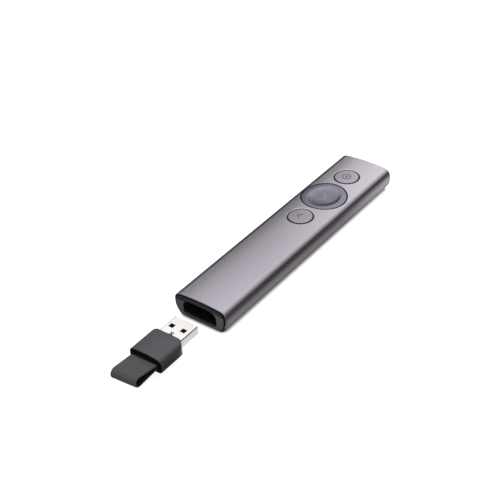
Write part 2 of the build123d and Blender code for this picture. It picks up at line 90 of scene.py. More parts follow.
def grain(tree, sizeMm, depthMm, strength):
    # fractal noise with lumps of sizeMm, and the bump that it makes
    place = addNode(tree, "TexCoord")
    noise = addNode(tree, "TexNoise", {
        "Vector": place.outputs["Object"], "Scale": 1 / (sizeMm * mm), "Detail": 2.0, "Roughness": 0.6})
    bump = addNode(tree, "Bump", {"Height": noise, "Distance": depthMm * mm, "Strength": strength})
    return noise, bump


# each function that makes something takes its values, below, as v
cameraValues = {
    "targetMm": (-9.8075, -17.328, 5.0), "distanceMm": 492.157,
    "azimuth": 39.3, "elevation": 36.578, "roll": -3.954,       # in degrees
    "lensMm": 78.52, "sensorMm": 36.0, "clipM": (0.01, 20),
}


def addCamera(v):
    # the camera looks at the target from azimuth and elevation, then rolls about its own line of sight
    a, e, r = (math.radians(v[key]) for key in ("azimuth", "elevation", "roll"))
    back = Vector((math.sin(a) * math.cos(e), -math.cos(a) * math.cos(e), math.sin(e)))
    level = (-back).cross(Vector((0, 0, 1))).normalized()
    upright = level.cross(-back)
    right = level * math.cos(r) + upright * math.sin(r)
    up = -level * math.sin(r) + upright * math.cos(r)
    data = bpy.data.cameras.new("studioCamera")
    data.lens, data.sensor_width = v["lensMm"], v["sensorMm"]
    data.clip_start, data.clip_end = v["clipM"]
    camera = bpy.data.objects.new("studioCamera", data)
    turned = Matrix((right, up, back)).transposed().to_4x4()
    camera.matrix_world = Matrix.Translation((Vector(v["targetMm"]) + back * v["distanceMm"]) * mm) @ turned
    bpy.context.scene.collection.objects.link(camera)
    bpy.context.scene.camera = camera


addCamera(cameraValues)
print("stage 2: camera set")


def gridMesh(name, points, closeRows=False, closeColumns=False):
    # one quad between neighbours of a rows x columns x 3 array of points; a closed direction wraps round
    rows, columns = points.shape[:2]
    index = np.arange(rows * columns).reshape(rows, columns)
    if closeRows:
        index = np.vstack([index, index[:1]])
    if closeColumns:
        index = np.hstack([index, index[:, :1]])
    quads = np.stack([index[:-1, :-1], index[:-1, 1:], index[1:, 1:], index[1:, :-1]], -1).reshape(-1, 4)
    mesh = bpy.data.meshes.new(name)
    mesh.from_pydata((points.reshape(-1, 3) * mm).tolist(), [], quads.tolist())
    mesh.polygons.foreach_set("use_smooth", np.ones(len(quads), bool))
    mesh.update()
    return mesh


def fullTurn(count):
    # angles of evenly spaced points round a circle
    return np.linspace(0, 2 * np.pi, count, endpoint=False)


def strengthRamp(tree, feed, stops):
    # a strength that follows feed through its (place, strength) stops
    low, high = stops[0][0], stops[-1][0]
    peak = max(strength for _, strength in stops)
    spread = addNode(tree, "MapRange", {"Value": feed, "From Min": low, "From Max": high})
    ramp = addNode(tree, "ValToRGB", {"Fac": spread})
    elements = ramp.color_ramp.elements
    while len(elements) < len(stops):
        elements.new(0.5)
    for element, (place, strength) in zip(elements, stops):
        element.position = (place - low) / (high - low)
        element.color = (strength / peak, strength / peak, strength / peak, 1)
    return addNode(tree, "Math", {0: ramp, 1: peak}, operation="MULTIPLY")


floorValues = {
    "colour": "#bcbcbc", "lift": 0.86, "reachM": 6.0,
    "contactMm": 2.6,               # reach of the soft dark line where a piece meets the table
    "contactOpen": (0.14, 0.66),    # openness at which that line is darkest, and at which it ends
    # what gloss sees of the table, by the distance in mm from the tube's middle line: a painted glow, dim
    # under the tube as a painted shadow, brightest just beside it and dimmer further out
    "glossStops": [(0, 0.14), (12.6, 0.19), (13.6, 0.27), (15, 0.36), (16.5, 0.42), (18.5, 0.44),
                   (20.4, 0.38), (22.0, 0.24), (26, 0.2), (32, 0.16), (45, 0.11), (60, 0.09)],
    "glossColour": "#fffcf8",
    # y and y in mm, factor before and after them: painted light brighter beside the tail, painted shade dim
    # in front of the mouth's rim
    "glossAlong": [(30, 75, 1.0, 2.3), (-70, -66, 0.35, 1.0)],
    # painted bright patch under the bare plug, for the plug to reflect: middle y, half length, half width
    "plugGloss": 0.85, "plugPatchMm": (-77.0, 9.0, 12.6),
}


def addFloor(v):
    # pale paper sweep: white to the camera with the shadow kept, and to the gloss a dim table whose light and
    # shade are painted into its glow
    material, tree = newMaterial("paperSweep")
    path = addNode(tree, "LightPath").outputs
    paper = addNode(tree, "BsdfDiffuse", {"Color": v["colour"]})
    openness = addNode(tree, "AmbientOcclusion", {"Distance": v["contactMm"] * mm}, samples=8)
    darkest, clear = v["contactOpen"]
    contact = addNode(tree, "MapRange", {
        "Value": openness.outputs["AO"], "From Min": darkest, "From Max": clear},
        interpolation_type="SMOOTHSTEP")
    seen = addNode(tree, "Math", {
        0: path["Is Camera Ray"], 1: path["Is Transmission Ray"]}, operation="MAXIMUM")
    lift = addNode(tree, "Math", {0: seen, 1: v["lift"]}, operation="MULTIPLY")
    glow = addNode(tree, "Emission", {"Color": contact, "Strength": lift})
    openPaper = addNode(tree, "AddShader", {0: paper, 1: glow})
    x, y, _ = ownPlace(tree)
    aside = addNode(tree, "Math", {0: x}, operation="ABSOLUTE")
    gloss = strengthRamp(tree, aside, [(distance * mm, strength) for distance, strength in v["glossStops"]])
    for start, end, before, after in v["glossAlong"]:
        factor = addNode(tree, "MapRange", {
            "Value": y, "From Min": start * mm, "From Max": end * mm, "To Min": before, "To Max": after})
        gloss = addNode(tree, "Math", {0: gloss, 1: factor}, operation="MULTIPLY")
    middle, halfLength, halfWidth = (size * mm for size in v["plugPatchMm"])
    ahead = addNode(tree, "Math", {0: y, 1: middle, 2: halfLength}, operation="COMPARE")
    under = addNode(tree, "Math", {0: x, 1: 0.0, 2: halfWidth}, operation="COMPARE")
    patch = addNode(tree, "Math", {0: ahead, 1: under}, operation="MULTIPLY")
    bright = addNode(tree, "Math", {0: patch, 1: v["plugGloss"]}, operation="MULTIPLY")
    gloss = addNode(tree, "Math", {0: gloss, 1: bright}, operation="MAXIMUM")
    table = addNode(tree, "Emission", {"Color": v["glossColour"], "Strength": gloss})
    both = addNode(tree, "MixShader", {0: path["Is Glossy Ray"], 1: openPaper, 2: table})
    addNode(tree, "OutputMaterial", {"Surface": both})
    edge = v["reachM"]
    mesh = bpy.data.meshes.new("floor")
    corners = [(-edge, -edge, 0), (edge, -edge, 0), (edge, edge, 0), (-edge, edge, 0)]
    mesh.from_pydata(corners, [], [(0, 1, 2, 3)])
    mesh.materials.append(material)
    floor = bpy.data.objects.new("floor", mesh)
    bpy.context.scene.collection.objects.link(floor)


addFloor(floorValues)

lampValues = {
    "worldStrength": 0.6,
    "softboxes": [
        # name, place in metres, what it faces, width, height, watts
        ("overhead", (-0.25, 0.35, 0.95), (0.0, 0.0, 0.0), 0.9, 0.7, 5.0),
        ("front", (0.3, -0.9, 0.75), (0.0, -0.05, 0.0), 0.5, 0.4, 2.0),
    ],
}


def addLights(v):
    scene = bpy.context.scene
    world = bpy.data.worlds.new("softStudio")
    world.use_nodes = True
    tree = world.node_tree
    tree.nodes.clear()
    # white to the camera past the floor's edge
    path = addNode(tree, "LightPath")
    strength = addNode(tree, "MapRange", {
        "Value": path.outputs["Is Camera Ray"], "To Min": v["worldStrength"], "To Max": 1.0})
    sky = addNode(tree, "Background", {"Color": (1, 1, 1, 1), "Strength": strength})
    addNode(tree, "OutputWorld", {"Surface": sky})
    world.cycles_visibility.glossy = False
    scene.world = world
    for name, place, aim, width, height, watts in v["softboxes"]:
        lamp = bpy.data.lights.new(name, "AREA")
        lamp.shape, lamp.size, lamp.size_y, lamp.energy = "RECTANGLE", width, height, watts
        holder = bpy.data.objects.new(name, lamp)
        facing = (Vector(aim) - Vector(place)).to_track_quat("-Z", "Y")
        holder.matrix_world = Matrix.Translation(place) @ facing.to_matrix().to_4x4()
        holder.visible_glossy = False
        scene.collection.objects.link(holder)
    scene.view_settings.view_transform = "Standard"


addLights(lampValues)

tentValues = {
    "radiusM": 1.5, "columns": 96, "rows": 25,
    # strength by the angle in degrees from overhead, across the tube, from its left to its right
    "across": [(-90, 0.12), (-58, 0.09), (-54, 0.11), (-52.5, 0.18), (-51, 0.31), (-50, 0.46), (-48.7, 0.7),
               (-47.7, 0.82), (-46.6, 0.92), (-45.5, 0.95), (-42, 0.98), (-38, 1.02), (-34, 1.1),
               (-30, 1.26), (-2, 1.3), (9, 1.23), (18, 1.07), (27, 0.9), (36, 0.72), (45, 0.53), (54, 0.3),
               (63, 0.15), (72, 0.08), (90, 0.055)],
    # factor by the share of the direction that points along the tube, towards its tail
    "along": [(-1, 0.6), (-0.6, 0.8), (-0.35, 1.0), (-0.15, 1.3), (0.0, 1.65), (0.4, 1.6), (0.5, 1.2),
              (0.52, 0.95), (0.535, 0.8), (0.553, 0.84), (0.565, 1.02), (0.575, 1.08), (0.59, 0.96),
              (0.605, 0.87), (0.62, 0.79), (0.655, 0.79), (0.672, 0.92), (0.695, 1.25), (0.72, 1.52),
              (0.76, 1.6), (0.82, 0.8), (0.9, 0.5), (1, 0.5)],
    # least strength on the left, towards the mouth and on the right; it fades out between the two shares
    "openLeft": (0.75, 0.35, 0.55), "openMouth": (0.8, -0.35, -0.1), "openRight": (0.4, 0.3, 0.48),
    "tailColour": "#fffefc", "tailShare": (0.63, 0.72),
}


def addLightTent(v):
    # a light tent that only gloss sees: long soft strips along the tube, dim at both sides
    material, tree = newMaterial("lightTent")
    place = addNode(tree, "TexCoord")
    outward = addNode(tree, "VectorMath", {0: place.outputs["Object"]}, operation="NORMALIZE")
    x, y, z = addNode(tree, "SeparateXYZ", {"Vector": outward}).outputs
    lean = addNode(tree, "Math", {0: x, 1: z}, operation="ARCTAN2")
    strength = strengthRamp(tree, lean, [(math.radians(angle), value) for angle, value in v["across"]])
    along = strengthRamp(tree, y, v["along"])
    for side in ("openLeft", "openMouth", "openRight"):
        least, start, end = v[side]
        opened = addNode(tree, "MapRange", {
            "Value": y, "From Min": start, "From Max": end, "To Min": least, "To Max": 0.0})
        if side == "openLeft":
            leftwards = addNode(tree, "Math", {0: x, 1: 0.0}, operation="LESS_THAN")
            opened = addNode(tree, "Math", {0: opened, 1: leftwards}, operation="MULTIPLY")
        strength = addNode(tree, "Math", {0: strength, 1: opened}, operation="MAXIMUM")
    strength = addNode(tree, "Math", {0: strength, 1: along}, operation="MULTIPLY")
    start, end = v["tailShare"]
    tailwards = addNode(tree, "MapRange", {"Value": y, "From Min": start, "From Max": end})
    tint = addNode(tree, "Mix", {0: tailwards, 6: "#ffffff", 7: v["tailColour"]}, data_type="RGBA")
    glow = addNode(tree, "Emission", {"Color": tint, "Strength": strength})
    addNode(tree, "OutputMaterial", {"Surface": glow})
    # a dome on the table: turn round the vertical and height angle are the two parameters, and it ends just
    # short of its pole
    turn, rise = np.meshgrid(fullTurn(v["columns"]), np.linspace(0.0, np.pi / 2 - 1e-4, v["rows"]))
    points = np.stack([np.cos(turn) * np.cos(rise), np.sin(turn) * np.cos(rise), np.sin(rise)], -1)
    mesh = gridMesh("lightTent", points * v["radiusM"] / mm, closeColumns=True)
    mesh.materials.append(material)
    tent = bpy.data.objects.new("lightTent", mesh)
    bpy.context.scene.collection.objects.link(tent)
    for ray in ("camera", "diffuse", "transmission", "volume_scatter", "shadow"):
        setattr(tent, "visible_" + ray, False)


addLightTent(tentValues)
print("stage 3: floor, lamps and light tent")

buttonValues = {
    "backY": 8.65, "nextY": 28.1, "pointerY": 47.55,        # in mm along the tube
    "smallHoleMm": 6.15, "bigHoleMm": 11.05, "gapMm": 0.38,
}
smallHole, bigHole, gap = (buttonValues[key] for key in ("smallHoleMm", "bigHoleMm", "gapMm"))
backY, nextY, pointerY = (buttonValues[key] for key in ("backY", "nextY", "pointerY"))

anodisedValues = {
    # painted shade: the gap round each button is painted near black and matt, for the shade in the narrow gap
    "gapShadeColour": "#060607", "gapShadeRoughness": 0.7, "gapShadeMm": 0.12,      # black this far past a hole's edge
    "capRimMm": 0.2,                                # a cap is metal to this far inside its edge
    "endShadeColour": "#6c686e", "sawnMm": 0.03,        # the tube's sawn ends
}


def pastNearest(tree, circles):
    # how far a point lies outside the nearest of the upright cylinders, each a (y, radius) in mm
    place = addNode(tree, "TexCoord")
    nearest = None
    for y, radius in circles:
        flat = addNode(tree, "Mapping", {
            "Vector": place.outputs["Object"], "Location": (0, -y * mm, 0), "Scale": (1, 1, 0)})
        reach = addNode(tree, "VectorMath", {0: flat}, operation="LENGTH")
        past = addNode(tree, "Math", {0: reach, 1: radius * mm}, operation="SUBTRACT")
        nearest = addNode(tree, "Math", {0: nearest, 1: past}, operation="MINIMUM") if nearest else past
    return nearest


def anodisedAluminium(name, colour, shade, roughness, holes=(), caps=(), v=anodisedValues):
    # bead-blasted and anodised aluminium: satin, with a very fine even grain that takes broad soft
    # highlights.  The blasted grain is about 0.05 mm and is drawn 0.3 mm across so that it shows
    material, tree = newMaterial(name)
    noise, bump = grain(tree, sizeMm=0.3, depthMm=0.004, strength=0.15)
    tint = addNode(tree, "Mix", {0: noise, 6: colour, 7: shade}, data_type="RGBA")
    # painted shade in the gap: the walls of the holes, and each cap's edge and what lies under it, are
    # painted near black and matt for the shade in the narrow gap
    black = addNode(tree, "Math", {
        0: pastNearest(tree, holes or caps), 1: (v["gapShadeMm"] if holes else -v["capRimMm"]) * mm},
        operation="LESS_THAN" if holes else "GREATER_THAN")
    tint = addNode(tree, "Mix", {0: black, 6: tint, 7: v["gapShadeColour"]}, data_type="RGBA")
    if holes:
        # the tube's end faces are painted darker, as painted shade at its rims
        along = addNode(tree, "Math", {0: ownPlace(tree)["Y"]}, operation="ABSOLUTE")
        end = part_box("body_shell")[1][1] - v["sawnMm"] * mm
        sawn = addNode(tree, "Math", {0: along, 1: end}, operation="GREATER_THAN")
        tint = addNode(tree, "Mix", {0: sawn, 6: tint, 7: v["endShadeColour"]}, data_type="RGBA")
    bare = addNode(tree, "Math", {0: 1.0, 1: black}, operation="SUBTRACT")
    polish = addNode(tree, "MapRange", {"Value": black, "To Min": roughness, "To Max": v["gapShadeRoughness"]})
    shader = addNode(tree, "BsdfPrincipled", {
        "Base Color": tint, "Metallic": bare, "Roughness": polish, "Normal": bump})
    addNode(tree, "OutputMaterial", {"Surface": shader})
    return material


def mouldedPlastic(name, colour, shade, roughness, grainMm=0.4, grainStrength=0.3, ior=1.46, dress=None):
    # moulded plastic with a spark-eroded texture: soft gloss broken up by a fine grain, which is about 0.1 mm
    # on the real one and drawn coarser so that it shows
    material, tree = newMaterial(name)
    noise, bump = grain(tree, grainMm, depthMm=0.01, strength=grainStrength)
    tint = addNode(tree, "Mix", {0: noise, 6: colour, 7: shade}, data_type="RGBA")
    if dress:
        tint = dress(tree, tint)
    shader = addNode(tree, "BsdfPrincipled", {
        "Base Color": tint, "Roughness": roughness, "IOR": ior, "Normal": bump})
    addNode(tree, "OutputMaterial", {"Surface": shader})
    return material


capValues = {
    "faceColour": "#575054",
    # the face's grey starts and is full at these distances; the cap's side behind them is painted near black
    # as painted shade
    "faceEdgeMm": (65.35, 65.55),      # the spray starts and is full at these distances from the tube's middle
    # the lip over the mouth is painted near black as painted shade: heights at which the grey starts and is
    # full, and the lip's bow in mm per square mm of the distance from the middle
    "lipShadeMm": (9.9, 9.5), "lipShadeBow": 0.0045,
    # painted light: the sill under the mouth, where light falls in, is painted the face's grey
    "sillMm": (1.9, 0.75),          # sprayed sill under the mouth: middle height and half height
}


def capFaceLightAndShade(tree, tint, v=capValues):
    # the cap's end face is satin grey; its side and the lip over the mouth are painted near black as painted
    # shade, which shows as a dark line at the tube's rim
    x, y, z = ownPlace(tree)
    fromMiddle = addNode(tree, "Math", {0: y}, operation="ABSOLUTE")
    start, full = (size * mm for size in v["faceEdgeMm"])
    front = addNode(tree, "MapRange", {"Value": fromMiddle, "From Min": start, "From Max": full})
    square = addNode(tree, "Math", {0: x, 1: x}, operation="MULTIPLY")
    unbowed = addNode(tree, "Math", {0: square, 1: v["lipShadeBow"] / mm, 2: z}, operation="MULTIPLY_ADD")
    start, full = (size * mm for size in v["lipShadeMm"])
    below = addNode(tree, "MapRange", {"Value": unbowed, "From Min": start, "From Max": full})
    greyShown = addNode(tree, "Math", {0: front, 1: below}, operation="MULTIPLY")
    # painted light on the sill under the mouth
    middle, half = (size * mm for size in v["sillMm"])
    sill = addNode(tree, "Math", {0: z, 1: middle, 2: half}, operation="COMPARE")
    greyShown = addNode(tree, "Math", {0: greyShown, 1: sill}, operation="MAXIMUM")
    return addNode(tree, "Mix", {0: greyShown, 6: tint, 7: v["faceColour"]}, data_type="RGBA")


bayValues = {"litSillColour": "#4c4745", "sillMm": (-64.0, -64.4), "floorMm": 2.3}


def paintedLitSill(tree, tint, v=bayValues):
    # painted light: grey on the sill of the bay's floor near the mouth, where light falls in through the
    # mouth
    _, y, z = ownPlace(tree)
    inner, outer = (size * mm for size in v["sillMm"])
    nearMouth = addNode(tree, "MapRange", {"Value": y, "From Min": inner, "From Max": outer})
    low = addNode(tree, "Math", {0: z, 1: v["floorMm"] * mm}, operation="LESS_THAN")
    sill = addNode(tree, "Math", {0: nearMouth, 1: low}, operation="MULTIPLY")
    return addNode(tree, "Mix", {0: sill, 6: tint, 7: v["litSillColour"]}, data_type="RGBA")


caseValues = {"rimShadeColour": "#0a0a0b", "rimShadeMm": 0.12}


def rimShade(tree, tint, v=caseValues):
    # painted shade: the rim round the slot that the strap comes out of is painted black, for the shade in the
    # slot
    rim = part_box("receiver_case")[0][1] + v["rimShadeMm"] * mm
    edge = addNode(tree, "Math", {0: ownPlace(tree)["Y"], 1: rim}, operation="LESS_THAN")
    return addNode(tree, "Mix", {0: edge, 6: tint, 7: v["rimShadeColour"]}, data_type="RGBA")


webbingValues = {
    "coat": "#525356", "shade": "#464749", "foldShadeColour": "#0a0b0b", "roughness": 0.8, "ior": 1.41,
    "pitchMm": 0.7, "ribMm": 0.03,
}


def coatedWebbing(name, v):
    # woven tape dipped in silicone: matt, with the weave's ribs showing faintly through the coat; the inside
    # of the fold and its root are painted black as painted shade
    material, tree = newMaterial(name)
    place = addNode(tree, "TexCoord")
    # a wave texture of scale 1 repeats every 2 pi / 20
    ribs = [addNode(tree, "TexWave", {
        "Vector": place.outputs["Object"], "Scale": 2 * math.pi / (20 * v["pitchMm"] * mm), "Distortion": 0.4,
        "Detail": 1.0}, bands_direction=way).outputs["Fac"] for way in ("X", "Y")]
    weave = addNode(tree, "Math", {0: ribs[0], 1: ribs[1]}, operation="MULTIPLY")
    bump = addNode(tree, "Bump", {"Height": weave, "Distance": v["ribMm"] * mm, "Strength": 0.5})
    coat = addNode(tree, "Mix", {0: weave, 6: v["shade"], 7: v["coat"]}, data_type="RGBA")
    inside = addNode(tree, "Attribute", attribute_name="inside")
    tint = addNode(tree, "Mix", {0: inside.outputs["Fac"], 6: coat, 7: v["foldShadeColour"]}, data_type="RGBA")
    shader = addNode(tree, "BsdfPrincipled", {
        "Base Color": tint, "Roughness": v["roughness"], "IOR": v["ior"], "Normal": bump})
    addNode(tree, "OutputMaterial", {"Surface": shader})
    return material


plugValues = {
    "shadeMarkColour": "#101010",
    # bar and stem of the T-shaped lock: half width, then middle and half length, in mm from the case
    "lockMm": [(1.0, 2.15, 0.25), (0.3, 0.95, 0.95)],
    # the bends at both sides: they start and are full this far from the side, and reach this far down
    "bendMm": (0.3, 0.1, 0.35), "bendShare": 0.55,
}


def seamAndBendShade(tree, v=plugValues):
    # painted shade: where the plug's sheet is painted dark, inside the T-shaped lock of its seam and along
    # the bends of its top
    root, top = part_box("receiver_case")[1][1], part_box("plug_shell")[1]
    x, y, z = ownPlace(tree)
    aside = addNode(tree, "Math", {0: x}, operation="ABSOLUTE")
    start, full, down = (size * mm for size in v["bendMm"])
    outer = addNode(tree, "MapRange", {
        "Value": aside, "From Min": top[0] - start, "From Max": top[0] - full, "To Max": v["bendShare"]})
    high = addNode(tree, "Math", {0: z, 1: top[2] - down}, operation="GREATER_THAN")
    marks = addNode(tree, "Math", {0: outer, 1: high}, operation="MULTIPLY")
    for halfWidth, middle, halfLength in v["lockMm"]:
        narrow = addNode(tree, "Math", {0: aside, 1: halfWidth * mm}, operation="LESS_THAN")
        near = addNode(tree, "Math", {0: y, 1: root + middle * mm, 2: halfLength * mm}, operation="COMPARE")
        mark = addNode(tree, "Math", {0: narrow, 1: near}, operation="MULTIPLY")
        marks = addNode(tree, "Math", {0: marks, 1: mark}, operation="MAXIMUM")
    return marks


def platedMetal(name, colour, roughness, lineMm=0.15, lineStrength=0.2, marks=None):
    # stamped and plated sheet: bright, with faint rolling lines, a dozen times as long as they are wide
    material, tree = newMaterial(name)
    place = addNode(tree, "TexCoord")
    drawn = addNode(tree, "Mapping", {"Vector": place.outputs["Object"], "Scale": (1, 0.08, 1)})
    lines = addNode(tree, "TexNoise", {"Vector": drawn, "Scale": 1 / (lineMm * mm), "Detail": 2.0})
    bump = addNode(tree, "Bump", {"Height": lines, "Distance": 0.002 * mm, "Strength": lineStrength})
    # painted shade: the marks are drawn in a dark colour
    if marks:
        shadeMarkColour = plugValues["shadeMarkColour"]
        colour = addNode(tree, "Mix", {0: marks(tree), 6: colour, 7: shadeMarkColour}, data_type="RGBA")
    shader = addNode(tree, "BsdfPrincipled", {
        "Base Color": colour, "Metallic": 1.0, "Roughness": roughness, "Normal": bump})
    addNode(tree, "OutputMaterial", {"Surface": shader})
    return material


holes = [(backY, smallHole), (nextY, bigHole), (pointerY, smallHole)]
smallCaps = [(backY, smallHole - gap), (pointerY, smallHole - gap)]
bigCap = [(nextY, bigHole - gap)]
# each takes its name, colour, a shade darker, and roughness; a plastic then takes its grain in mm, the
# grain's strength and the IOR, and a metal the width of its rolling lines in mm, but no second colour
finishes = {
    # dyed satin metal with long soft highlights; the dished cap is dyed a shade darker than the rest
    "anodised_shell": anodisedAluminium("anodisedAluminium", "#aba6af", "#a7a2ab", 0.23, holes=holes),
    "button_finish": anodisedAluminium("anodisedButton", "#9d98a2", "#99949e", 0.26, caps=smallCaps),
    "dish_finish": anodisedAluminium("anodisedDish", "#7d7c87", "#797883", 0.28, caps=bigCap),
    # matt mouldings: the cap's face is grey, and its side and lip are painted near black as painted shade;
    # the bay is near black, partly painted shade deep in the mouth
    "cap_plastic": mouldedPlastic("mouldedAbsCap", "#161417", "#161417", 0.5, ior=1.4, dress=capFaceLightAndShade),
    "bay_plastic": mouldedPlastic("blackAbsBay", "#060607", "#060607", 0.6, dress=paintedLitSill),
    # dull, for its glass fibres reach the skin
    "chassis_plastic": mouldedPlastic("glassFilledNylon", "#242426", "#1e1e20", 0.55),
    # slick, with a slight gloss
    "switch_plunger": mouldedPlastic("acetalPlunger", "#2a2a2c", "#252527", 0.4),
    # stamped and tinned: pale and satin
    "switch_base": platedMetal("switchSteel", "#d2d2d4", 0.3),
    "stamped_steel": platedMetal("stampedSteel", "#cdcdcf", 0.28),
    # smooth and nearly black
    "tongue_plastic": mouldedPlastic("liquidCrystalPolymer", "#161618", "#121213", 0.45),
    # green lacquer with a wet gloss over the laminate
    "circuit_board": mouldedPlastic("solderMask", "#17402c", "#123524", 0.35, 0.8, 0.15, 1.55),
    # greyish white
    "screw_steel": platedMetal("zincPlatedSteel", "#c0c0c2", 0.3),
    # matt, as moulded
    "chip_resin": mouldedPlastic("epoxyMouldingCompound", "#1d1d1f", "#171719", 0.5),
    # ivory, with a fired glaze
    "aerial_ceramic": mouldedPlastic("glazedCeramic", "#e6e3da", "#dedbd2", 0.3, 0.6, 0.1, 1.6),
    # silvery, brushed soft
    "battery_foil": platedMetal("laminatedFoil", "#c6c8cc", 0.35, 0.5),
    # open cells, no gloss
    "foam_pad": mouldedPlastic("acrylicFoam", "#2b2b2b", "#222222", 0.9, 0.25, 0.8),
    # rolled, warm white
    "nickel_tab": platedMetal("nickelStrip", "#d6d4cc", 0.25),
    # drawn and plated
    "motor_can": platedMetal("nickelledCan", "#c8c8ca", 0.25),
    # matt, soft
    "soft_rubber": mouldedPlastic("siliconeRubber", "#1c1c1d", "#171718", 0.7, 0.5, 0.3, 1.41),
    # pressed powder, dull
    "weight_metal": platedMetal("sinteredTungsten", "#8d8d90", 0.5, 0.3),
    # polished before it is plated: mirrors the table, with hardly a line
    "plug_nickel": platedMetal("brightNickel", "#e8e6e4", 0.17, lineStrength=0.01, marks=seamAndBendShade),
    # gold drawn dim and rough, as painted shade inside the plug
    "contact_gold": platedMetal("goldPlatedBrass", "#5c4720", 0.5),
    # satin dark grey, moulded in a blasted tool
    "receiver_plastic": mouldedPlastic("mouldedAbsCase", "#3f3d42", "#3a383d", 0.33, dress=rimShade),
    # matt black
    "receiver_inner": mouldedPlastic("blackAbsAnchor", "#141415", "#101011", 0.55),
    "strap_rubber": coatedWebbing("coatedWebbing", webbingValues),
}
for entry in frame["record"]["subparts"]:
    worn = nodes[entry["node"]].data.materials
    worn.clear()
    worn.append(finishes[entry["material_slot"]])
print("stage 4: materials on", len(nodes), "nodes")


def closedSkin(name, points, closeRows=False, smooth=True):
    # rows of rings made one closed skin: rows wrap round, or the first and last ring are drawn to a point
    if not closeRows:
        first, last = (np.broadcast_to(ring.mean(0), ring.shape)[None] for ring in (points[0], points[-1]))
        points = np.concatenate([first, points, last])
    mesh = gridMesh(name, points, closeRows, closeColumns=True)
    skin = bmesh.new()
    skin.from_mesh(mesh)
    bmesh.ops.remove_doubles(skin, verts=skin.verts, dist=1e-4 * mm)
    bmesh.ops.recalc_face_normals(skin, faces=skin.faces)
    skin.to_mesh(mesh)
    skin.free()
    mesh.polygons.foreach_set("use_smooth", np.full(len(mesh.polygons), smooth))
    return mesh


def addPiece(name, mesh, body, material):
    piece = bpy.data.objects.new(name, mesh)
    bpy.context.scene.collection.objects.link(piece)
    piece.data.materials.append(material)
    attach(piece, body)
    return piece


dishValues = {
    # the scoop's half width and half length, its depth, and how softly and how fully it is hollowed
    "acrossMm": 7.5, "alongMm": 8.8, "depthMm": 0.9, "softness": 0.07, "fullness": 0.4,
    # the tube's crown: its top, its curve, and where its shoulder starts to fall faster
    "crownMm": 12.05, "curve": 211.0, "shoulderMm": 10.2, "shoulderCurve": 7.6,
    "edgeMm": 0.1,              # rounding of the cap's edge
    "flangeDropMm": 1.03, "flangeShoulderMm": 10.3, "flangeCurve": 9.0,
    # radii of the rings in mm, from and to, and how many: close together over the scoop's wall
    "bowlRings": (0.05, 6.4, 23), "wallRings": (6.6, 9.3, 28), "outerRings": (9.5, 5), "edgeRings": 4,
    "columns": 128,
}


def crownHeight(x, y=0, v=dishValues):
    # top of the caps, the same all along: a circle's arc across the tube, less the square of the distance
    # past the tube's shoulder
    past = np.maximum(np.abs(x) - v["shoulderMm"], 0)
    return v["crownMm"] - x ** 2 / v["curve"] - past ** 2 / v["shoulderCurve"]


def dishHeight(x, y, v=dishValues):
    # top of the middle cap: the crown less a scoop with an elliptical rim.  Its depth falls with the square
    # of the distance along the tube, keeps nearly the same across it, and runs out softly at the rim
    across = 1 - (x / v["acrossMm"]) ** 2
    left = across - ((y - nextY) / v["alongMm"]) ** 2
    inside = (left + np.sqrt(left ** 2 + v["softness"] ** 2)) / 2
    share = (1 + v["fullness"]) * inside / (np.maximum(across, 0) + v["fullness"])
    return crownHeight(x) - v["depthMm"] * share


def addDishedButton(v):
    # rings about the button's axis: out over the bowl and the crown, round the edge, down the side, out along
    # the flange, down and back in along the underside
    low, high = (np.array(corner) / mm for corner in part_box("next_button"))
    capRadius, flangeRadius, edge = bigHole - gap, (high[0] - low[0]) / 2, v["edgeMm"]
    turn = fullTurn(v["columns"])

    def flangeTop(x, y):
        past = np.maximum(np.abs(x) - v["flangeShoulderMm"], 0)
        return crownHeight(x) - v["flangeDropMm"] - past ** 2 / v["flangeCurve"]

    def underside(x, y):
        return low[2] + 0 * x

    def ring(radius, height, drop=0.0):
        x, y = radius * np.cos(turn), nextY + radius * np.sin(turn)
        return np.stack([x, y, height(x, y) - drop], -1)

    start, count = v["outerRings"]
    spans = [v["bowlRings"], v["wallRings"], (start, capRadius - edge, count)]
    rings = [ring(radius, dishHeight) for span in spans for radius in np.linspace(*span)]
    rings += [ring(capRadius - edge * (1 - math.sin(angle)), crownHeight, edge * (1 - math.cos(angle)))
              for angle in np.linspace(0, np.pi / 2, v["edgeRings"] + 1)[1:]]
    rings += [ring(capRadius, flangeTop), ring(flangeRadius, flangeTop),
              ring(flangeRadius, underside), ring(flangeRadius / 2, underside)]
    button = addPiece("dishedButton", closedSkin("dishedButton", np.stack(rings)), "next_button",
                      finishes["dish_finish"])
    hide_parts("next_button")


addDishedButton(dishValues)

iconValues = {
    "lineMm": 0.42, "bossedLineMm": 0.6, "proudMm": 0.03, "ringMm": 1.9, "dotMm": 0.55, "columns": 48,
    # corners in mm from the button's middle
    "backArrow": [(0.3, -1.75), (-1.6, 0.0), (0.3, 1.75)],
    "nextArrow": [(-2.2, -3.3), (1.2, -0.4), (-1.6, 2.8)],
    "arrowPieces": 8,
    # the raised arrow on the middle button is drawn lighter than the dish, as a painted highlight on its
    # embossed edge
    "ink": ("#3c3940", "#37343b", 0.5), "raisedHighlight": ("#8b8994", "#86848f", 0.4),      # colour, shade, roughness
}


